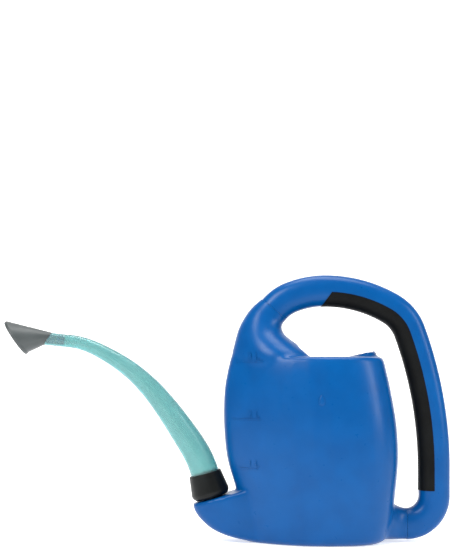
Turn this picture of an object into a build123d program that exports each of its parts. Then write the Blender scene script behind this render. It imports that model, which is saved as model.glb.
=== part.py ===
from build123d import *
import os
from math import copysign, cos, pi, radians, sin

os.makedirs("parts", exist_ok=True)

# A swivel-spout watering can, in millimetres, standing on z = 0 with its foot centred on the
# origin. The spout points to -x, the handle is at +x and y = 0 is the plane of symmetry.

# ---- driving dimensions ----------------------------------------------------------------------
wall = 2.5                # reservoir and handle wall
nose_share = 0.42         # width of the front of the body, as a share of its full width
full_width_at = 0.62      # where the body reaches its full width, as a share of its length
plan_power = 3.0          # how square the body's plan is
deck_z = 195.0            # height of the deck around the fill opening
deck_edge = 5.0           # rounding of the deck's edge
foot_edge = 1.5           # rounding of the foot's edge

# height, front, back and half width of the body's outline, from the foot to the deck
body_levels = [
    (0.0, -67.0, 73.0, 47.0),
    (7.0, -71.0, 80.5, 53.5),
    (27.0, -74.5, 86.0, 58.0),
    (54.0, -78.5, 89.5, 61.5),
    (88.0, -88.0, 92.2, 63.0),
    (124.0, -91.4, 90.4, 62.5),
    (157.0, -91.0, 85.0, 60.5),
    (178.0, -87.8, 80.4, 58.5),
    (deck_z, -83.8, 77.0, 56.0),
]

# the swivel seat at the front, where the spout turns
seat_x = -104.0
seat_z = 45.8
seat_lean = 15.9          # lean of the swivel axis towards the front, in degrees
seat_reach = 21.4         # from the swivel axis to the tip of the prow

# front point, tilt, reach and half width of the prow's outlines, from the foot to the seat
prow_levels = [
    (-63.0, 0.0, 0.0, 43.0, 33.0),
    (-91.0, 6.7, 2.0, 71.0, 38.0),
    (-106.0, 14.0, 5.0, 86.0, 41.0),
    (-118.0, 25.0, 9.0, 98.0, 43.0),
    (-123.8, 34.5, 13.0, 104.0, 44.5),
]
prow_reach = 107.0        # reach and half width of the outline at the seat
prow_half = 45.0
prow_power = 2.0

# the horn that rises from the deck to the handle: front and back points and half width
horn_levels = [
    ((-86.5, 180.0), (22.0, 180.0), 50.0),
    ((-80.6, 207.5), (-13.0, 206.5), 41.0),
    ((-73.4, 226.5), (-27.5, 218.5), 27.0),
    ((-62.5, 243.5), (-30.3, 227.5), 18.5),
]
horn_power = 2.5

# the heel at the back of the foot: x, height of its middle, half height and half width
heel_levels = [
    (50.0, 30.0, 26.0, 46.0),
    (84.0, 22.5, 20.5, 26.0),
]

# handle
grip_depth = 33.0         # handle's thickness in the plane of symmetry
grip_width = 30.0         # handle's thickness across
grip_power = 2.5
handle_start = (-38.2, 244.9)
handle_rise = 50.0        # slope of the handle where it leaves the horn, in degrees
handle_bends = [          # radius and turn of each bend, from the horn to the straight back
    (45.0, 28.0),
    (98.0, 22.0),
    (138.0, 30.0),
    (47.0, 40.0),
    (425.0, 20.0),
]
heel_radius = 29.7        # the turn at the bottom of the handle
heel_z = 18.3             # height of the handle's lower end
handle_wall = 4.2
joiner_depth = 8.0        # how far a joiner reaches into each side of its seam
joiner_room = 0.6         # how much wider the joiner's pocket is than the handle's hollow
joiner_clearance = 0.1
joiner_wall = 2.5

# soft grip inlaid on the inside of the handle
pad_thickness = 2.0
pad_proud = 0.4
pad_edge = 1.6            # distance of the pad's border from the handle's middle line
pad_start = (15.0, 253.0)  # a point of the pad's slanted upper end
pad_slant = 36.0          # slant of that end, in degrees
pad_low = 54.0            # height of the pad's lower end

# fill opening and the dock that holds the rose when it is parked
fill_x = 11.5
fill_reach = 26.5
fill_half = 33.0
fill_power = 3.0
fill_cut = 25.0           # how far the cut runs under and over the deck
dock_x = 55.5
dock_lean = 14.0
dock_top_radius = 13.5
dock_low_radius = 8.5
dock_depth = 27.0
dock_wall = 2.0
dock_lip = 3.0            # height of the dock's rim over the deck

# swivel joint
neck_radius = 11.0
neck_bore = 8.0
neck_height = 15.0
neck_flange_radius = 15.5
neck_flange = 2.0
gasket_thickness = 1.0
seat_gap = 0.3
run_clearance = 0.1       # radial clearance of the swivel
seal_wire = 2.0
seal_height = 6.0
clip_height = 12.0
clip_thickness = 1.4
clip_reach = 1.6          # how far the clip stands out of the neck
clip_groove = 0.8

# collar
collar_foot_radius = 14.1
collar_radius = 20.2
collar_belly_z = 6.5
collar_top_radius = 17.1
collar_height = 27.0
collar_web = 11.7         # height of the collar's bearing web
collar_lip = 1.0

# spout
spout_base_radius = 15.0
spout_tip_radius = 6.7
spout_wall = 1.6
spout_taper_length = 215.0
spout_socket = 11.0       # how deep the spout sits in the collar
spout_bend_low = (-132.4, 112.7)
spout_bend_mid = (-159.1, 149.9)
spout_bend_high = (-191.7, 182.2)
spout_bend_tip = (-224.7, 202.4)
tip_start = (-257.6, 211.8)
tip_rise = 6.0            # slope of the straight tip, in degrees
tip_length = 20.0
tip_slant = 27.0          # slant of the cut end, in degrees
spout_steps = 12

# rose
rose_radius = 20.4
rose_x = -312.6
rose_z = 214.3
rose_tilt = 33.8          # the face looks this far below the horizontal, in degrees
rose_wall = 1.6
rim_height = 3.2
rim_step = 0.6            # how far the rim stands out of the cone
rim_round = 0.8
rose_foot_tall = 7.8      # half axes of the cone's narrow end
rose_foot_half = 7.0
plug_length = 17.0
plug_root = 4.0           # how far the plug reaches into the cone
plug_wall = 1.4
plug_clearance = 0.1
plug_seal_wire = 1.2
hole_radius = 0.7
hole_rings = 4
hole_pitch = 3.9

# ---- shared planes and routes ----------------------------------------------------------------
seat_angle = radians(seat_lean)
seat_along = Vector(cos(seat_angle), 0, sin(seat_angle))
seat_axis = Vector(-sin(seat_angle), 0, cos(seat_angle))
seat = Vector(seat_x, 0, seat_z)
swivel = Axis(seat, seat_axis)
seat_plane = Plane(origin=seat, x_dir=seat_along, z_dir=seat_axis)
seat_section = Plane(origin=seat, x_dir=seat_along, z_dir=(0, -1, 0))


def in_side(point):
    """A point of the plane of symmetry, given as (x, z)."""
    return Vector(point[0], 0, point[1])


# ---- the handle's line -------------------------------------------------------------------------
# Tangent arcs run over the crown and down the back, and the heel turns under towards the body.
rise = radians(handle_rise)
spot_x, spot_z = handle_start
heading = rise
with BuildLine(Plane.XZ) as handle_line:
    for radius, turn in handle_bends:
        JernArc((spot_x, spot_z), (cos(heading), sin(heading)), radius, -turn)
        next_heading = heading - radians(turn)
        spot_x += radius * (sin(heading) - sin(next_heading))
        spot_z += radius * (cos(next_heading) - cos(heading))
        heading = next_heading
    Line((spot_x, spot_z), (spot_x, heel_z + heel_radius))
    JernArc((spot_x, heel_z + heel_radius), (0, -1), heel_radius, -90)
handle_route = handle_line.wires()[0]
handle_end_x = (handle_route @ 1).X
start_plane = Plane(origin=handle_route @ 0, x_dir=(sin(rise), 0, -cos(rise)), z_dir=handle_route % 0)
end_plane = Plane(origin=handle_route @ 1, x_dir=(0, 0, 1), z_dir=(1, 0, 0))

# ---- forms used for both the outside and the hollow of the reservoir ----------------------------
def oval_points(reach, half, power, count=24):
    """Points round a soft-cornered oval."""
    points = []
    for step in range(count):
        turn = 2 * pi * step / count
        x = reach * copysign(abs(cos(turn)) ** (2 / power), cos(turn))
        y = half * copysign(abs(sin(turn)) ** (2 / power), sin(turn))
        points.append((x, y))
    return points


def plan_points(reach, half):
    """Points round the body's plan: a narrow nose in front, broad and soft-cornered behind."""
    points = []
    for x, y in oval_points(reach, half, plan_power, 32):
        along = (x + reach) / (2 * reach)
        swell = sin(min(along / full_width_at, 1.0) * pi / 2)
        points.append((x, y * (nose_share + (1 - nose_share) * swell)))
    return points


def outline_face(plane, points):
    """A face on a plane, inside one smooth closed curve."""
    with BuildSketch(plane) as outline:
        with BuildLine():
            Spline(*points, periodic=True)
        make_face()
    return outline.sketch.face()


def body_form(inset, mode):
    """The main part of the reservoir, from foot to deck."""
    last = len(body_levels) - 1
    faces = []
    for number, (z, front, back, half) in enumerate(body_levels):
        height = z + inset if number == 0 else z - inset if number == last else z
        points = plan_points((back - front) / 2 - inset, half - inset)
        faces.append(outline_face(Plane(origin=((front + back) / 2, 0, height)), points))
    loft(faces, mode=mode)


def prow_form(inset, mode):
    """The bow under the spout, which ends in the flat swivel seat."""
    faces = []
    for number, (x, z, tilt, reach, half) in enumerate(prow_levels):
        angle = radians(tilt)
        low = inset if number == 0 else 0
        centre = (x + reach * cos(angle), 0, z + reach * sin(angle) + low)
        level = Plane(origin=centre, x_dir=(cos(angle), 0, sin(angle)), z_dir=(-sin(angle), 0, cos(angle)))
        faces.append(outline_face(level, oval_points(reach - inset, half - inset, prow_power)))
    centre = seat - seat_axis * inset + seat_along * (prow_reach - seat_reach)
    level = Plane(origin=centre, x_dir=seat_along, z_dir=seat_axis)
    faces.append(outline_face(level, oval_points(prow_reach - inset, prow_half - inset, prow_power)))
    loft(faces, mode=mode)


def horn_form(inset, mode):
    """The horn that carries the upper end of the handle; it is solid near the seam."""
    faces = []
    for front, back, half in horn_levels:
        start, end = in_side(front), in_side(back)
        along = (end - start).normalized()
        level = Plane(origin=(start + end) * 0.5, x_dir=along, z_dir=along.cross(Vector(0, 1, 0)))
        faces.append(outline_face(level, oval_points((end - start).length / 2 - inset, half - inset, horn_power)))
    if inset == 0:
        faces.append(outline_face(start_plane, oval_points(grip_depth / 2, grip_width / 2, grip_power)))
    loft(faces, mode=mode)


def heel_form(inset, mode):
    """The short arm at the foot that carries the lower end of the handle."""
    sections = list(heel_levels)
    if inset == 0:
        sections.append((handle_end_x, heel_z, grip_depth / 2, grip_width / 2))
    faces = []
    for x, z, tall, half in sections:
        level = Plane(origin=(x, 0, z), x_dir=(0, 0, 1), z_dir=(1, 0, 0))
        faces.append(outline_face(level, oval_points(tall - inset, half - inset, grip_power)))
    loft(faces, mode=mode)


pad_cut = radians(pad_slant)

# ---- the spout's line --------------------------------------------------------------------------
slope = radians(tip_rise)
tip_along = Vector(-cos(slope), 0, sin(slope))
tip_up = Vector(sin(slope), 0, cos(slope))
tip_end = in_side(tip_start) + tip_along * tip_length
spout_foot = seat + seat_axis * (seat_gap + collar_height)
with BuildLine(Plane.XZ) as spout_line:
    Spline(
        (spout_foot.X, spout_foot.Z), spout_bend_low, spout_bend_mid,
        spout_bend_high, spout_bend_tip, tip_start,
        tangents=[(seat_axis.X, seat_axis.Z), (tip_along.X, tip_along.Z)],
    )
spout_route = spout_line.edges()[0]

dock_angle = radians(dock_lean)
dock_axis = Vector(-sin(dock_angle), 0, cos(dock_angle))
dock_along = Vector(cos(dock_angle), 0, sin(dock_angle))
dock_mouth = Vector(dock_x, 0, deck_z)
dock_section = Plane(origin=dock_mouth, x_dir=dock_along, z_dir=(0, -1, 0))

# half sizes of the handle's hollow: in the plane of symmetry, and across it
handle_hollow = (grip_depth / 2 - handle_wall, grip_width / 2 - handle_wall)


def joiner_space(seam, clearance, depth, mode):
    """An oval plug through a seam, a little wider than the handle's hollow."""
    reach, half = handle_hollow
    room = joiner_room - clearance
    points = oval_points(reach + room, half + room, grip_power)
    extrude(outline_face(seam, points), depth, both=True, mode=mode)


# ---- reservoir ---------------------------------------------------------------------------------
with BuildPart() as body_shell:
    body_form(0, Mode.ADD)
    top_edge = body_shell.edges().sort_by(Axis.Z)[-1]
    fillet(top_edge, deck_edge)
    prow_form(0, Mode.ADD)
    horn_form(0, Mode.ADD)
    heel_form(0, Mode.ADD)
    # the horn ends flush with its seam
    with BuildSketch(start_plane):
        Circle(grip_depth)
    extrude(amount=joiner_depth, mode=Mode.SUBTRACT)
    body_form(wall, Mode.SUBTRACT)
    prow_form(wall, Mode.SUBTRACT)
    horn_form(wall, Mode.SUBTRACT)
    heel_form(wall, Mode.SUBTRACT)
    # the dock: a tapered cup with a low rim, leaning towards the opening
    with BuildSketch(dock_section):
        with BuildLine():
            Polyline(
                (0, -dock_depth - dock_wall),
                (dock_low_radius + dock_wall, -dock_depth - dock_wall),
                (dock_top_radius + dock_wall, dock_lip),
                (0, dock_lip),
                close=True,
            )
        make_face()
    revolve(axis=Axis(dock_mouth, dock_axis))
    with BuildSketch(dock_section):
        with BuildLine():
            Polyline(
                (0, -dock_depth),
                (dock_low_radius, -dock_depth),
                (dock_top_radius, dock_lip + 1),
                (0, dock_lip + 1),
                close=True,
            )
        make_face()
    revolve(axis=Axis(dock_mouth, dock_axis), mode=Mode.SUBTRACT)
    # the fill opening, cut down through the deck and the foot of the horn
    with BuildSketch(Plane.XY.offset(deck_z - fill_cut)):
        with BuildLine():
            Spline(*[(fill_x + x, y) for x, y in oval_points(fill_reach, fill_half, fill_power)], periodic=True)
        make_face()
    extrude(amount=fill_cut + fill_cut, mode=Mode.SUBTRACT)
    # the hole for the neck, and the sockets of the two handle joiners
    with BuildSketch(seat_plane.offset(1)):
        Circle(neck_radius + joiner_clearance)
    extrude(amount=-(wall + 2), mode=Mode.SUBTRACT)
    joiner_space(start_plane, 0, joiner_depth, Mode.SUBTRACT)
    joiner_space(end_plane, 0, joiner_depth, Mode.SUBTRACT)
body_shell.part.label = "body_shell"
export_step(body_shell.part, "parts/body_shell.step")

# ---- handle ------------------------------------------------------------------------------------
with BuildPart() as soft_grip:
    with BuildSketch(start_plane):
        with BuildLine():
            Spline(*oval_points(grip_depth / 2 + pad_proud, grip_width / 2 + pad_proud, grip_power), periodic=True)
        make_face()
        with BuildLine():
            Spline(
                *oval_points(grip_depth / 2 - pad_thickness, grip_width / 2 - pad_thickness, grip_power),
                periodic=True,
            )
        make_face(mode=Mode.SUBTRACT)
        with Locations((pad_edge - grip_depth / 2, 0)):
            Rectangle(grip_depth, grip_width + grip_depth, mode=Mode.SUBTRACT)
    sweep(path=handle_route)
    split(bisect_by=Plane(origin=in_side(pad_start), z_dir=(cos(pad_cut), 0, -sin(pad_cut))), keep=Keep.TOP)
    split(bisect_by=Plane.XY.offset(pad_low), keep=Keep.TOP)
soft_grip.part.label = "soft_grip"
export_step(soft_grip.part, "parts/soft_grip.step")

with BuildPart() as handle_tube:
    with BuildSketch(start_plane):
        with BuildLine():
            Spline(*oval_points(grip_depth / 2, grip_width / 2, grip_power), periodic=True)
        make_face()
    sweep(path=handle_route)
    with BuildSketch(start_plane):
        with BuildLine():
            Spline(*oval_points(*handle_hollow, grip_power), periodic=True)
        make_face()
    sweep(path=handle_route, mode=Mode.SUBTRACT)
    add(soft_grip.part, mode=Mode.SUBTRACT)
    joiner_space(start_plane, 0, joiner_depth, Mode.SUBTRACT)
    joiner_space(end_plane, 0, joiner_depth, Mode.SUBTRACT)
handle_tube.part.label = "handle_tube"
export_step(handle_tube.part, "parts/handle_tube.step")

for joiner_name, seam in (("upper_handle_joiner", start_plane), ("lower_handle_joiner", end_plane)):
    with BuildPart() as joiner:
        joiner_space(seam, joiner_clearance, joiner_depth - joiner_clearance, Mode.ADD)
        joiner_space(seam, joiner_clearance + joiner_wall, joiner_depth, Mode.SUBTRACT)
    joiner.part.label = joiner_name
    export_step(joiner.part, "parts/" + joiner_name + ".step")

# ---- swivel ------------------------------------------------------------------------------------
with BuildPart() as outlet_neck:
    with BuildSketch(seat_section):
        with BuildLine():
            Polyline(
                (neck_bore, -wall - gasket_thickness - neck_flange),
                (neck_flange_radius, -wall - gasket_thickness - neck_flange),
                (neck_flange_radius, -wall - gasket_thickness),
                (neck_radius, -wall - gasket_thickness),
                (neck_radius, neck_height),
                (neck_bore, neck_height),
                close=True,
            )
        make_face()
        with Locations((neck_radius, seal_height)):
            Rectangle(2 * seal_wire, seal_wire + 2 * run_clearance, mode=Mode.SUBTRACT)
        with Locations((neck_radius, clip_height + clip_thickness / 2)):
            Rectangle(2 * clip_groove, clip_thickness + 2 * run_clearance, mode=Mode.SUBTRACT)
    revolve(axis=swivel)
outlet_neck.part.label = "outlet_neck"
export_step(outlet_neck.part, "parts/outlet_neck.step")

with BuildPart() as neck_gasket:
    with BuildSketch(seat_plane.offset(-wall - gasket_thickness)):
        Circle(neck_flange_radius)
        Circle(neck_radius + joiner_clearance, mode=Mode.SUBTRACT)
    extrude(amount=gasket_thickness)
neck_gasket.part.label = "neck_gasket"
export_step(neck_gasket.part, "parts/neck_gasket.step")

with BuildPart() as swivel_seal:
    with BuildSketch(seat_section):
        with Locations((neck_radius + run_clearance / 2 - seal_wire / 2, seal_height)):
            Circle(seal_wire / 2)
    revolve(axis=swivel)
swivel_seal.part.label = "swivel_seal"
export_step(swivel_seal.part, "parts/swivel_seal.step")

with BuildPart() as retaining_clip:
    with BuildSketch(seat_plane.offset(clip_height)):
        Circle(neck_radius + clip_reach)
        Circle(neck_radius - clip_groove, mode=Mode.SUBTRACT)
    extrude(amount=clip_thickness)
retaining_clip.part.label = "retaining_clip"
export_step(retaining_clip.part, "parts/retaining_clip.step")

collar_bore = neck_radius + run_clearance
collar_top = seat_gap + collar_height
spout_bore = spout_base_radius - spout_wall
spout_rest = collar_top - spout_socket
web_top = clip_height - seat_gap
with BuildPart() as swivel_collar:
    with BuildSketch(seat_section):
        with BuildLine():
            Line((collar_bore, seat_gap), (collar_foot_radius, seat_gap))
            EllipticalCenterArc(
                (collar_foot_radius, seat_gap + collar_belly_z),
                collar_radius - collar_foot_radius,
                collar_belly_z,
                start_angle=270,
                arc_size=90,
            )
            Polyline(
                (collar_radius, seat_gap + collar_belly_z),
                (collar_top_radius, collar_top),
                (spout_base_radius + joiner_clearance, collar_top),
                (spout_base_radius + joiner_clearance, spout_rest),
                (spout_bore, spout_rest),
                (spout_bore, web_top),
                (collar_bore, web_top),
                (collar_bore, seat_gap),
            )
        make_face()
    revolve(axis=swivel)
    rim = swivel_collar.edges().filter_by(GeomType.CIRCLE)
    rim = rim.filter_by(lambda edge: abs(edge.radius - collar_top_radius) < 0.01)
    fillet(rim, collar_lip)
swivel_collar.part.label = "swivel_collar"
export_step(swivel_collar.part, "parts/swivel_collar.step")


# ---- spout -------------------------------------------------------------------------------------
def spout_form(inset, mode):
    """The curved, tapering tube, with a straight foot in the collar and a straight tip."""
    faces = []
    for step in range(spout_steps + 1):
        share = step / spout_steps
        travel = min(spout_route.length * share / spout_taper_length, 1.0)
        taper = travel * travel * (3 - 2 * travel)
        radius = spout_base_radius + (spout_tip_radius - spout_base_radius) * taper - inset
        level = Plane(origin=spout_route @ share, x_dir=(0, 1, 0), z_dir=spout_route % share)
        with BuildSketch(level) as ring:
            Circle(radius)
        faces.append(ring.sketch.face())
    loft(faces, mode=mode)
    extrude(faces[0], -spout_socket, dir=seat_axis, mode=mode)
    extrude(faces[-1], tip_length + spout_tip_radius, dir=tip_along, mode=mode)


tip_turn = radians(tip_rise + tip_slant)
tip_plane = Plane(origin=tip_end, x_dir=(0, 1, 0), z_dir=(-cos(tip_turn), 0, sin(tip_turn)))
with BuildPart() as spout_tube:
    spout_form(0, Mode.ADD)
    spout_form(spout_wall, Mode.SUBTRACT)
    split(bisect_by=tip_plane, keep=Keep.BOTTOM)
spout_tube.part.label = "spout_tube"
export_step(spout_tube.part, "parts/spout_tube.step")

# ---- rose --------------------------------------------------------------------------------------
tilt = radians(rose_tilt)
rose_out = Vector(-cos(tilt), 0, -sin(tilt))
rose_face_plane = Plane(origin=(rose_x, 0, rose_z), x_dir=(0, 1, 0), z_dir=rose_out)
rose_rim_plane = rose_face_plane.offset(-rim_height)
rose_foot_plane = tip_plane.offset(seat_gap)
plug_radius = spout_tip_radius - spout_wall - plug_clearance
plug_plane = Plane(origin=tip_end, x_dir=(0, 1, 0), z_dir=tip_along)


def rose_form(wide, tall, half, mode):
    """A slanted cone from the rim of the face to the cut end of the spout."""
    with BuildSketch(rose_rim_plane) as wide_end:
        Circle(wide)
    with BuildSketch(rose_foot_plane) as narrow_end:
        Ellipse(half, tall)
    loft([wide_end.sketch.face(), narrow_end.sketch.face()], ruled=True, mode=mode)


with BuildPart() as rose_cone:
    rose_form(rose_radius - rim_step, rose_foot_tall, rose_foot_half, Mode.ADD)
    rose_form(
        rose_radius - rim_step - rose_wall, rose_foot_tall - rose_wall, rose_foot_half - rose_wall, Mode.SUBTRACT
    )
    with BuildSketch(plug_plane.offset(-plug_length)):
        Circle(plug_radius)
    extrude(amount=plug_length + plug_root, mode=Mode.SUBTRACT)
rose_cone.part.label = "rose_cone"
export_step(rose_cone.part, "parts/rose_cone.step")

with BuildPart() as rose_face:
    with BuildSketch(rose_rim_plane):
        Circle(rose_radius)
    extrude(amount=rim_height)
    with BuildSketch(rose_rim_plane):
        Circle(rose_radius - rim_step - rose_wall)
    extrude(amount=rim_height - rose_wall, mode=Mode.SUBTRACT)
    with BuildSketch(rose_face_plane):
        Circle(hole_radius)
        for ring in range(1, hole_rings + 1):
            with PolarLocations(ring * hole_pitch, 6 * ring):
                Circle(hole_radius)
    extrude(amount=-rim_height, mode=Mode.SUBTRACT)
    outer_rim = rose_face.edges().filter_by(GeomType.CIRCLE)
    outer_rim = outer_rim.filter_by(lambda edge: abs(edge.radius - rose_radius) < 0.01)
    fillet(outer_rim, rim_round)
rose_face.part.label = "rose_face"
export_step(rose_face.part, "parts/rose_face.step")

plug_seal_radius = plug_radius + plug_clearance / 2 - plug_seal_wire / 2
plug_middle = -plug_length / 2
with BuildPart() as rose_plug:
    with BuildSketch(plug_plane.offset(-plug_length)):
        Circle(plug_radius)
        Circle(plug_radius - plug_wall, mode=Mode.SUBTRACT)
    extrude(amount=plug_length + plug_root)
    with BuildSketch(plug_plane.offset(plug_middle - plug_seal_wire / 2 - run_clearance)):
        Circle(plug_radius + 1)
        Circle(plug_seal_radius - plug_seal_wire / 2, mode=Mode.SUBTRACT)
    extrude(amount=plug_seal_wire + 2 * run_clearance, mode=Mode.SUBTRACT)
rose_plug.part.label = "rose_plug"
export_step(rose_plug.part, "parts/rose_plug.step")

with BuildPart() as plug_seal:
    with BuildSketch(Plane(origin=tip_end, x_dir=tip_up, z_dir=(0, -1, 0))):
        with Locations((plug_seal_radius, plug_middle)):
            Circle(plug_seal_wire / 2)
    revolve(axis=Axis(tip_end, tip_along))
plug_seal.part.label = "plug_seal"
export_step(plug_seal.part, "parts/plug_seal.step")
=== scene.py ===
import math

import bmesh
import bpy
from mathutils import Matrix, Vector
from mathutils.bvhtree import BVHTree


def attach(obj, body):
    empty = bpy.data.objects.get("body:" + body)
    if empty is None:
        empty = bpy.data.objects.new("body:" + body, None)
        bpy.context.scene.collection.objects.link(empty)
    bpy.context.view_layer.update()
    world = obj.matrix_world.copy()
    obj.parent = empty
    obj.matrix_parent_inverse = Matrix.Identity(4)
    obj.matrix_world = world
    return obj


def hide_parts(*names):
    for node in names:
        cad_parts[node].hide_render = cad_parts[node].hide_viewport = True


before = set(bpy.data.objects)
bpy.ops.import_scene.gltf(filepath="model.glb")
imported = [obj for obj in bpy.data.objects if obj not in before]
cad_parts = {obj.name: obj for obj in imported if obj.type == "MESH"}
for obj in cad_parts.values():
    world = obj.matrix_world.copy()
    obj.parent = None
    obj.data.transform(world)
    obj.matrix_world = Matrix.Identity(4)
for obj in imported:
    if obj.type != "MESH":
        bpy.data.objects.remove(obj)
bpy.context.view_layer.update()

# ---- Camera, floor and light -------------------------------------------------------------------
# The can stands on a pale studio floor with a pale wall standing behind it. Large soft lamps give
# the long highlights along the handle and the shoulder. The camera is level with the can's deck.
VIEW_HEIGHT = 0.583          # height of what the camera takes in, at the can
CAMERA_X = -0.0864
CAMERA_Z = 0.200
CAMERA_AWAY = 1.45
CAMERA_SHIFT = 0.14
SENSOR_MM = 36.0
FLOOR_SIZE = 6.0
FLOOR_DROP = 0.0005
STUDIO_WALL_HEIGHT = 3.0

scene = bpy.context.scene
camera_data = bpy.data.cameras.new("camera")
camera_data.sensor_fit = "VERTICAL"
camera_data.sensor_height = SENSOR_MM
camera_data.lens = SENSOR_MM * CAMERA_AWAY / VIEW_HEIGHT
camera_data.shift_y = CAMERA_SHIFT
camera = bpy.data.objects.new("camera", camera_data)
camera.location = (CAMERA_X, -CAMERA_AWAY, CAMERA_Z)
camera.rotation_euler = (math.radians(90), 0, 0)
scene.collection.objects.link(camera)
scene.camera = camera


def nothing_selected():
    """Leaves object mode's selection empty, so the next operator works on the new piece alone."""
    bpy.ops.object.select_all(action="DESELECT")
    bpy.context.view_layer.objects.active = None


def only(piece):
    """Selects one piece and makes it active."""
    nothing_selected()
    piece.select_set(True)
    bpy.context.view_layer.objects.active = piece


def finish_modifiers(piece):
    """Applies every modifier of a piece."""
    only(piece)
    for modifier in list(piece.modifiers):
        bpy.ops.object.modifier_apply(modifier=modifier.name)


def settle(piece):
    """Puts a piece's place into its mesh."""
    only(piece)
    bpy.ops.object.transform_apply(location=True, rotation=True, scale=True)


nothing_selected()
bpy.ops.mesh.primitive_plane_add(size=FLOOR_SIZE, location=(0, 0, -FLOOR_DROP))
floor = bpy.context.object
floor.name = "studio_floor"
bpy.ops.object.mode_set(mode="EDIT")
bpy.ops.mesh.select_all(action="DESELECT")
floor_mesh = bmesh.from_edit_mesh(floor.data)
for edge in floor_mesh.edges:
    edge.select = all(vert.co.y > FLOOR_SIZE * 0.48 for vert in edge.verts)
bmesh.update_edit_mesh(floor.data)
bpy.ops.mesh.extrude_region_move(TRANSFORM_OT_translate={"value": (0, 0, STUDIO_WALL_HEIGHT)})
bpy.ops.object.mode_set(mode="OBJECT")
settle(floor)
floor_paint = bpy.data.materials.new("studio_paper")
floor_paint.use_nodes = True
paper = floor_paint.node_tree.nodes["Principled BSDF"]
paper.inputs["Base Color"].default_value = (0.93, 0.93, 0.93, 1)
paper.inputs["Roughness"].default_value = 0.85
paper.inputs["Specular IOR Level"].default_value = 0.1
paper.inputs["Emission Color"].default_value = (1, 1, 1, 1)
paper.inputs["Emission Strength"].default_value = 0.62
floor.data.materials.append(floor_paint)

world = bpy.data.worlds.new("studio")
world.use_nodes = True
world.node_tree.nodes["Background"].inputs["Color"].default_value = (1, 1, 1, 1)
world.node_tree.nodes["Background"].inputs["Strength"].default_value = 0.25
scene.world = world
scene.view_settings.view_transform = "Standard"


def soft_lamp(name, place, aim, width, height, power):
    """A rectangular lamp at a place, facing a point."""
    data = bpy.data.lights.new(name, "AREA")
    data.shape = "RECTANGLE"
    data.size = width
    data.size_y = height
    data.energy = power
    lamp = bpy.data.objects.new(name, data)
    lamp.location = place
    lamp.rotation_euler = (Vector(aim) - Vector(place)).to_track_quat("-Z", "Y").to_euler()
    scene.collection.objects.link(lamp)


soft_lamp("key_lamp", (-0.9, -1.1, 1.3), (0, 0, 0.12), 0.7, 0.9, 34)
soft_lamp("top_lamp", (0.1, 0.1, 1.7), (0, 0, 0.1), 1.2, 0.8, 26)
soft_lamp("side_lamp", (1.3, -0.6, 0.7), (0, 0, 0.12), 0.35, 1.0, 13)


# ---- Body plastic ------------------------------------------------------------------------------
# Reservoir, handle, neck and rose plug are moulded in one opaque blue plastic with a satin gloss. It
# has the faint orange peel of a blown moulding, a little mottling and an uneven sheen from handling.
def new_finish(name):
    """A material with its shader and a texture coordinate, both ready to link."""
    material = bpy.data.materials.new(name)
    material.use_nodes = True
    tree = material.node_tree
    shader = tree.nodes["Principled BSDF"]
    coordinate = tree.nodes.new("ShaderNodeTexCoord")
    return material, tree, shader, coordinate.outputs["Object"]


def noise(tree, source, scale, detail=3.0, rough=0.5):
    """Noise of a scale in cycles per metre."""
    node = tree.nodes.new("ShaderNodeTexNoise")
    node.inputs["Scale"].default_value = scale
    node.inputs["Detail"].default_value = detail
    node.inputs["Roughness"].default_value = rough
    tree.links.new(source, node.inputs["Vector"])
    return node.outputs["Fac"]


def blend_of(tree, factor, low, high, start=0.35, end=0.65):
    """A colour ramp from low to high."""
    node = tree.nodes.new("ShaderNodeValToRGB")
    node.color_ramp.elements[0].position = start
    node.color_ramp.elements[1].position = end
    node.color_ramp.elements[0].color = (*low, 1)
    node.color_ramp.elements[1].color = (*high, 1)
    tree.links.new(factor, node.inputs["Fac"])
    return node.outputs["Color"]


def range_of(tree, factor, low, high, start=0.3, end=0.7):
    """A number that runs from low to high as the factor runs from start to end."""
    node = tree.nodes.new("ShaderNodeMapRange")
    node.inputs["From Min"].default_value = start
    node.inputs["From Max"].default_value = end
    node.inputs["To Min"].default_value = low
    node.inputs["To Max"].default_value = high
    tree.links.new(factor, node.inputs["Value"])
    return node.outputs["Result"]


def relief(tree, shader, height, strength, distance):
    """Bump from a height."""
    node = tree.nodes.new("ShaderNodeBump")
    node.inputs["Strength"].default_value = strength
    node.inputs["Distance"].default_value = distance
    tree.links.new(height, node.inputs["Height"])
    tree.links.new(node.outputs["Normal"], shader.inputs["Normal"])


def moulded_plastic(name, dark, light, smooth, dull, grain, peel, shine=0.15):
    """Opaque moulded plastic: mottled colour, uneven gloss and a fine surface."""
    material, tree, shader, place = new_finish(name)
    mottle = noise(tree, place, 35.0, 5.0)
    tree.links.new(blend_of(tree, mottle, dark, light), shader.inputs["Base Color"])
    wear = noise(tree, place, 160.0, 6.0, 0.6)
    tree.links.new(range_of(tree, wear, smooth, dull), shader.inputs["Roughness"])
    relief(tree, shader, noise(tree, place, grain, 2.0), peel, 0.0002)
    shader.inputs["Specular IOR Level"].default_value = shine
    return material


BODY_BLUE_DARK = (0.0, 0.056, 0.205)
BODY_BLUE_LIGHT = (0.0, 0.065, 0.230)
body_plastic = moulded_plastic(
    "satin_blue_plastic", BODY_BLUE_DARK, BODY_BLUE_LIGHT, 0.27, 0.35, 700.0, 0.12
)


def dress(node, material):
    """Gives a CAD node a finished material."""
    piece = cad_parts[node]
    piece.data.materials.clear()
    piece.data.materials.append(material)


# ---- Reservoir ---------------------------------------------------------------------------------
# The reservoir is one blown moulding of blue plastic: an upright body with a narrow front, a bow
# that carries the swivel seat, a horn that sweeps up to the handle, and a heel at the back.
WALL = 0.0026
VOXEL = 0.0019
RING_POINTS = 64
MM = 1000.0                  # millimetres in a metre; the levels below are in millimetres


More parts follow.
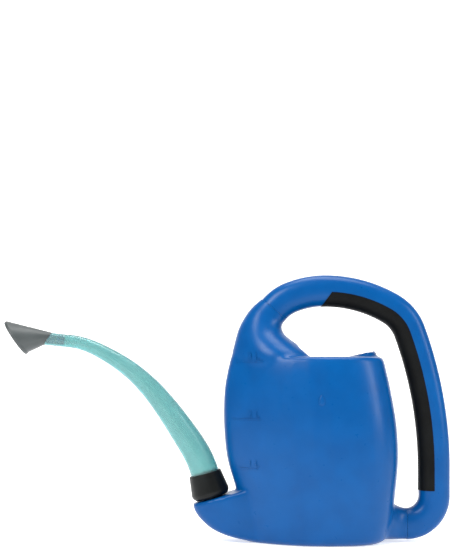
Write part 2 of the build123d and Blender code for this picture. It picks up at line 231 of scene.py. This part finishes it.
def oval(reach, half, power, nose=1.0, full_at=0.62):
    """Points round a soft-cornered oval, narrower towards its front where nose is under one."""
    points = []
    for step in range(RING_POINTS):
        turn = 2 * math.pi * step / RING_POINTS
        x = reach * math.copysign(abs(math.cos(turn)) ** (2 / power), math.cos(turn))
        y = half * math.copysign(abs(math.sin(turn)) ** (2 / power), math.sin(turn))
        along = (x + reach) / (2 * reach)
        swell = math.sin(min(along / full_at, 1.0) * math.pi / 2)
        points.append((x, y * (nose + (1 - nose) * swell)))
    return points


def on_curve(before, first, second, after, t):
    """A number on a smooth curve through four others, t of the way from first to second."""
    return 0.5 * (
        2 * first
        + (second - before) * t
        + (2 * before - 5 * first + 4 * second - after) * t * t
        + (3 * first - before - 3 * second + after) * t ** 3
    )


def smooth_between(rows, count):
    """Rows of numbers between the given rows, on a smooth curve through them."""
    filled = []
    for index in range(len(rows) - 1):
        before = rows[max(index - 1, 0)]
        first, second = rows[index], rows[index + 1]
        after = rows[min(index + 2, len(rows) - 1)]
        for step in range(count):
            filled.append([
                on_curve(*numbers, step / count) for numbers in zip(before, first, second, after)
            ])
    filled.append(list(rows[-1]))
    return filled


def skin_of_rings(name, rings):
    """A closed skin over rings of points, with both ends capped."""
    verts = [point for ring in rings for point in ring]
    count = len(rings[0])
    faces = [tuple(range(count - 1, -1, -1))]
    for row in range(len(rings) - 1):
        for step in range(count):
            nxt = (step + 1) % count
            low, high = row * count, (row + 1) * count
            faces.append((low + step, low + nxt, high + nxt, high + step))
    last = (len(rings) - 1) * count
    faces.append(tuple(range(last, last + count)))
    mesh = bpy.data.meshes.new(name)
    mesh.from_pydata(verts, [], faces)
    piece = bpy.data.objects.new(name, mesh)
    scene.collection.objects.link(piece)
    only(piece)
    bpy.ops.object.mode_set(mode="EDIT")
    bpy.ops.mesh.select_all(action="SELECT")
    bpy.ops.mesh.normals_make_consistent(inside=False)
    bpy.ops.object.mode_set(mode="OBJECT")
    return piece


# height, front, back and half width of the body
BODY_LEVELS = [
    (0.0, -66.0, 72.0, 46.0), (2.5, -69.0, 76.5, 50.0), (7.0, -71.0, 80.5, 53.5),
    (27.0, -74.5, 86.0, 58.0), (54.0, -78.3, 89.3, 61.3), (88.0, -87.8, 92.0, 62.5),
    (124.0, -91.2, 90.2, 62.3), (157.0, -90.8, 84.8, 60.3), (178.0, -87.6, 80.2, 58.3),
    (190.0, -84.8, 77.3, 56.0), (193.6, -84.0, 75.5, 54.6), (195.0, -82.0, 72.0, 52.0),
]
rings = []
for z, front, back, half in smooth_between(BODY_LEVELS, 6):
    ring = oval((back - front) / 2, half, 3.0, 0.42)
    rings.append([((x + (front + back) / 2) / MM, y / MM, z / MM) for x, y in ring])
body_part = skin_of_rings("reservoir_body", rings)

# front point, tilt, reach and half width of the bow
BOW_LEVELS = [
    (-60.0, 0.3, 0.0, 22.0, 18.0), (-74.0, 2.6, 1.0, 32.0, 22.0), (-91.0, 7.0, 2.0, 45.0, 23.0),
    (-105.5, 14.0, 5.0, 58.0, 23.8), (-117.6, 25.0, 9.0, 69.0, 24.3), (-123.2, 34.5, 13.0, 74.0, 24.5),
    (-124.0, 39.8, 15.9, 75.0, 24.5),
]
rings = []
for x, z, tilt, reach, half in smooth_between(BOW_LEVELS, 6):
    angle = math.radians(tilt)
    ring = []
    for u, v in oval(reach, half, 2.8):
        ahead = reach + u
        ring.append(((x + ahead * math.cos(angle)) / MM, v / MM, (z + ahead * math.sin(angle)) / MM))
    rings.append(ring)
bow_part = skin_of_rings("reservoir_bow", rings)

# front and back points of the horn, its half width, how square it is and its nose
HORN_LEVELS = [
    (-86.0, 168.0, 22.0, 168.0, 45.0, 2.5, 0.45), (-83.3, 193.0, 8.0, 193.0, 45.0, 2.5, 0.50),
    (-80.3, 208.0, -12.0, 207.0, 37.5, 2.5, 0.62), (-74.6, 227.0, -27.0, 218.5, 26.0, 2.4, 0.78),
    (-63.8, 244.6, -30.2, 227.8, 18.6, 2.4, 0.95), (-51.5, 256.0, -25.6, 234.0, 15.3, 2.5, 1.0),
    (-43.5, 262.6, -19.0, 242.0, 15.0, 2.5, 1.0),
]
rings = []
for fx, fz, bx, bz, half, power, nose in smooth_between(HORN_LEVELS, 7):
    start, end = Vector((fx, 0, fz)), Vector((bx, 0, bz))
    along = (end - start).normalized()
    middle = (start + end) / 2
    ring = []
    for u, v in oval((end - start).length / 2, half, power, nose):
        spot = middle + along * u
        ring.append((spot.x / MM, v / MM, spot.z / MM))
    rings.append(ring)
horn_part = skin_of_rings("reservoir_horn", rings)

# x, height of the middle, half height and half width of the heel
HEEL_LEVELS = [
    (55.0, 28.0, 24.5, 44.0), (80.0, 23.0, 20.8, 28.0), (93.0, 19.6, 17.6, 17.8),
    (101.0, 18.4, 16.4, 14.9), (112.0, 18.3, 16.3, 14.8),
]
rings = []
for x, z, tall, half in smooth_between(HEEL_LEVELS, 6):
    rings.append([(x / MM, v / MM, (z + u) / MM) for u, v in oval(tall, half, 2.5)])
heel_part = skin_of_rings("reservoir_heel", rings)

# the dock's rim, a low ring on the deck
DOCK = Vector((0.0555, 0, 0.195))
DOCK_LEAN = math.radians(14.0)
DOCK_CUP_LOW = 0.0085
DOCK_CUP_TOP = 0.0137
DOCK_CUP_DEPTH = 0.034
DOCK_CUP_MIDDLE = 0.010      # how far the cutter's middle lies under the deck
nothing_selected()
bpy.ops.mesh.primitive_cone_add(
    vertices=64, radius1=0.0165, radius2=0.0152, depth=0.012,
    location=(DOCK.x - 0.0004, 0, DOCK.z - 0.0028), rotation=(0, -DOCK_LEAN, 0),
)
dock_rim = bpy.context.object
settle(dock_rim)

nothing_selected()
for part in (body_part, bow_part, horn_part, heel_part, dock_rim):
    part.select_set(True)
bpy.context.view_layer.objects.active = body_part
bpy.ops.object.join()
reservoir = bpy.context.object
reservoir.name = "reservoir"
reservoir.data.name = "reservoir"
remesh = reservoir.modifiers.new("weld", "REMESH")
remesh.mode = "VOXEL"
remesh.voxel_size = VOXEL
even = reservoir.modifiers.new("even", "SMOOTH")
even.factor = 0.5
even.iterations = 9
finish_modifiers(reservoir)


def cut_away(piece, cutter):
    """Cuts one solid out of a piece and removes the cutter."""
    cut = piece.modifiers.new("cut", "BOOLEAN")
    cut.operation = "DIFFERENCE"
    cut.solver = "EXACT"
    cut.object = cutter
    finish_modifiers(piece)
    bpy.data.objects.remove(cutter, do_unlink=True)


# the seams at both ends of the handle
HANDLE_START = Vector((-0.0382, 0, 0.2449))
HANDLE_RISE = math.radians(50.0)
HANDLE_END_X = 0.1017
HEEL_MIDDLE_Z = 0.018
SEAM_CUTTER = 0.08
SEAM_PLAY = 0.0002           # how far the skin is cut back from the seam
seam_normal = Vector((math.cos(HANDLE_RISE), 0, math.sin(HANDLE_RISE)))
nothing_selected()
bpy.ops.mesh.primitive_cube_add(
    size=SEAM_CUTTER,
    location=HANDLE_START + seam_normal * (SEAM_CUTTER / 2 - SEAM_PLAY),
    rotation=(0, math.radians(90) - HANDLE_RISE, 0),
)
cut_away(reservoir, bpy.context.object)
nothing_selected()
bpy.ops.mesh.primitive_cube_add(
    size=SEAM_CUTTER, location=(HANDLE_END_X + SEAM_CUTTER / 2 - SEAM_PLAY, 0, HEEL_MIDDLE_Z)
)
cut_away(reservoir, bpy.context.object)

# the fill opening, cut as a pocket whose walls and floor are then taken out
FILL_X = 0.0115
FILL_REACH = 0.0265
FILL_HALF = 0.033
FILL_LOW = 0.160
FILL_HIGH = 0.240
FILL_POWER = 3.0
fill_ring = oval(FILL_REACH, FILL_HALF, FILL_POWER)
rings = [[(FILL_X + x, y, z) for x, y in fill_ring] for z in (FILL_LOW, FILL_HIGH)]
cut_away(reservoir, skin_of_rings("fill_cutter", rings))
only(reservoir)
bpy.ops.object.mode_set(mode="EDIT")
bpy.ops.mesh.select_all(action="DESELECT")
skin = bmesh.from_edit_mesh(reservoir.data)
for face in skin.faces:
    middle = face.calc_center_median()
    across = (abs(middle.x - FILL_X) / FILL_REACH) ** FILL_POWER + (abs(middle.y) / FILL_HALF) ** FILL_POWER
    inside = across < 1.02
    face.select = inside and FILL_LOW - 0.001 < middle.z < FILL_HIGH
bmesh.update_edit_mesh(reservoir.data)
bpy.ops.mesh.delete(type="FACE")
bpy.ops.object.mode_set(mode="OBJECT")

# the dock's tapered cup
nothing_selected()
bpy.ops.mesh.primitive_cone_add(
    vertices=64, radius1=DOCK_CUP_LOW, radius2=DOCK_CUP_TOP, depth=DOCK_CUP_DEPTH,
    location=DOCK - Vector((-math.sin(DOCK_LEAN), 0, math.cos(DOCK_LEAN))) * DOCK_CUP_MIDDLE,
    rotation=(0, -DOCK_LEAN, 0),
)
dock_cutter = bpy.context.object
settle(dock_cutter)
cut_away(reservoir, dock_cutter)
shell = reservoir.modifiers.new("wall", "SOLIDIFY")
shell.thickness = WALL
shell.offset = -1
finish_modifiers(reservoir)
FOOT_Z = 0.00002             # the skin's lowest point, just inside the CAD foot
for vert in reservoir.data.vertices:
    vert.co.z = max(vert.co.z, FOOT_Z)
reservoir.data.materials.append(body_plastic)
only(reservoir)
bpy.ops.object.shade_smooth_by_angle(angle=math.radians(40))
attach(reservoir, "body")
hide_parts("body_shell")

# ---- Level marks -------------------------------------------------------------------------------
# The level marks are raised lines and figures moulded into the near side of the reservoir, one for
# each litre. A small plain water drop stands in relief higher up on the same side.
MARK_PROUD = 0.0008
MARK_DEEP = 0.0011
LINE_HALF = 0.0006
FIGURE_HEIGHT = 0.0068
FIGURE_X = -0.0605
FIGURE_GAP = 0.0024          # how far a figure stands over its line
LINE_STEPS = 24
# height, ends and figure of each line
LITRE_LINES = [
    (0.0789, -0.0748, -0.0565, "1 L"),
    (0.1302, -0.0835, -0.0537, "2 L"),
    (0.190, -0.0790, -0.0510, "3 L"),
]
skin_tree = BVHTree.FromObject(reservoir, bpy.context.evaluated_depsgraph_get())


def lay_on_side(piece, name):
    """Lays a flat raised piece, drawn at y 0, onto the near side of the reservoir."""
    for vert in piece.data.vertices:
        spot = skin_tree.ray_cast(Vector((vert.co.x, -0.2, vert.co.z)), Vector((0, 1, 0)))[0]
        vert.co.y += spot.y
    piece.name = name
    piece.data.name = name
    piece.data.materials.clear()
    piece.data.materials.append(body_plastic)
    only(piece)
    bpy.ops.object.shade_smooth_by_angle(angle=math.radians(35))
    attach(piece, "body")


for number, (line_z, line_from, line_to, figure) in enumerate(LITRE_LINES, start=1):
    rings = []
    for step in range(LINE_STEPS + 1):
        x = line_from + (line_to - line_from) * step / LINE_STEPS
        rings.append([
            (x, -MARK_PROUD, line_z - LINE_HALF), (x, -MARK_PROUD, line_z + LINE_HALF),
            (x, MARK_DEEP, line_z + LINE_HALF), (x, MARK_DEEP, line_z - LINE_HALF),
        ])
    lay_on_side(skin_of_rings("line", rings), f"litre_line_{number}")
    nothing_selected()
    bpy.ops.object.text_add(location=(FIGURE_X, 0, line_z + FIGURE_GAP), rotation=(math.radians(90), 0, 0))
    figure_text = bpy.context.object
    figure_text.data.body = figure
    figure_text.data.size = FIGURE_HEIGHT / 0.72
    figure_text.data.align_x = "CENTER"
    figure_text.data.extrude = (MARK_PROUD + MARK_DEEP) / 2
    only(figure_text)
    bpy.ops.object.convert(target="MESH")
    figure_mesh = bpy.context.object
    settle(figure_mesh)
    for vert in figure_mesh.data.vertices:
        vert.co.y += (MARK_DEEP - MARK_PROUD) / 2
    only(figure_mesh)
    bpy.ops.object.mode_set(mode="EDIT")
    bpy.ops.mesh.select_all(action="SELECT")
    bpy.ops.mesh.remove_doubles(threshold=0.000002)
    bpy.ops.mesh.normals_make_consistent(inside=False)
    bpy.ops.object.mode_set(mode="OBJECT")
    lay_on_side(figure_mesh, f"litre_figure_{number}")

# the drop, drawn as a ring of points that narrows to a tip at the top
DROP_X = 0.0085
DROP_Z = 0.1510
DROP_RADIUS = 0.0040
DROP_HALF_HEIGHT = 0.0058
drop_ring = []
for step in range(40):
    turn = 2 * math.pi * step / 40
    x = DROP_RADIUS * math.sin(turn) * math.sin(turn / 2) ** 1.1
    drop_ring.append((DROP_X + x, DROP_Z + DROP_HALF_HEIGHT * math.cos(turn)))
rings = []
for grow, y in ((1.0, MARK_DEEP), (1.0, -MARK_PROUD * 0.6), (0.8, -MARK_PROUD), (0.4, -MARK_PROUD * 1.1)):
    rings.append([(DROP_X + (x - DROP_X) * grow, y, DROP_Z + (z - DROP_Z) * grow) for x, z in drop_ring])
lay_on_side(skin_of_rings("drop", rings), "water_drop")

# ---- Handle, joiners and neck ------------------------------------------------------------------
# The handle is a hollow blue tube plugged onto the horn and the heel with oval joiners. The neck
# is a separate moulding that stands out of the swivel seat inside the collar.
for node in ("handle_tube", "upper_handle_joiner", "lower_handle_joiner", "outlet_neck"):
    dress(node, body_plastic)

# ---- Soft grip ---------------------------------------------------------------------------------
# The grip is a black soft rubber pad moulded into the inside of the handle. It is matt, with a
# fine leathery grain, and stands a hair proud of the blue.
grip_rubber = moulded_plastic(
    "soft_black_rubber", (0.002, 0.0022, 0.0022), (0.004, 0.0045, 0.0045), 0.5, 0.65, 1500.0, 0.35, 0.10
)
dress("soft_grip", grip_rubber)

# ---- Swivel collar -----------------------------------------------------------------------------
# The collar is a turned-looking barrel of matt black plastic that grips the foot of the spout and
# turns on the neck. Its surface is lightly spark-eroded.
collar_plastic = moulded_plastic(
    "matt_black_plastic", (0.003, 0.0035, 0.0035), (0.005, 0.006, 0.006), 0.34, 0.46, 1100.0, 0.20, 0.16
)
dress("swivel_collar", collar_plastic)

# ---- Seals and clip ----------------------------------------------------------------------------
# Black rubber rings seal the neck against its seat, the collar against the neck and the rose's plug
# against the spout. A sprung steel clip in a groove of the neck keeps the collar on.
seal_rubber = moulded_plastic(
    "seal_rubber", (0.010, 0.010, 0.010), (0.018, 0.018, 0.018), 0.45, 0.6, 900.0, 0.2
)
for node in ("neck_gasket", "swivel_seal", "plug_seal"):
    dress(node, seal_rubber)
clip_steel, steel_tree, steel_shader, steel_place = new_finish("clip_steel")
steel_shader.inputs["Metallic"].default_value = 1.0
steel_shader.inputs["Base Color"].default_value = (0.58, 0.58, 0.6, 1)
brushing = noise(steel_tree, steel_place, 500.0, 4.0)
steel_tree.links.new(range_of(steel_tree, brushing, 0.22, 0.38), steel_shader.inputs["Roughness"])
dress("retaining_clip", clip_steel)

# ---- Spout -------------------------------------------------------------------------------------
# The spout is a curved, tapering tube of frosted aqua plastic that lets light through: pale in the
# middle, deep teal where one looks along its wall, with the blue plug showing through the tip.
spout_plastic, spout_tree, spout_shader, spout_place = new_finish("frosted_aqua_plastic")
cloud = noise(spout_tree, spout_place, 60.0, 4.0)
spout_tree.links.new(
    blend_of(spout_tree, cloud, (0.38, 0.63, 0.61), (0.43, 0.67, 0.65)), spout_shader.inputs["Base Color"]
)
frosting = noise(spout_tree, spout_place, 240.0, 5.0)
spout_tree.links.new(range_of(spout_tree, frosting, 0.16, 0.24), spout_shader.inputs["Roughness"])
spout_shader.inputs["Transmission Weight"].default_value = 0.82
spout_shader.inputs["IOR"].default_value = 1.35
relief(spout_tree, spout_shader, noise(spout_tree, spout_place, 500.0, 2.0), 0.03, 0.0002)
tint = spout_tree.nodes.new("ShaderNodeVolumeAbsorption")
tint.inputs["Color"].default_value = (0.0, 0.70, 0.76, 1)
tint.inputs["Density"].default_value = 380.0
spout_tree.links.new(tint.outputs["Volume"], spout_tree.nodes["Material Output"].inputs["Volume"])
dress("spout_tube", spout_plastic)

# ---- Rose --------------------------------------------------------------------------------------
# The rose is a slanted cone of dark grey plastic with a snapped-on face full of small holes. Its
# blue plug pushes into the tip of the spout.
rose_plastic = moulded_plastic(
    "grey_rose_plastic", (0.042, 0.049, 0.050), (0.056, 0.064, 0.065), 0.40, 0.52, 1000.0, 0.25, 0.3
)
dress("rose_cone", rose_plastic)
dress("rose_face", rose_plastic)
dress("rose_plug", body_plastic)
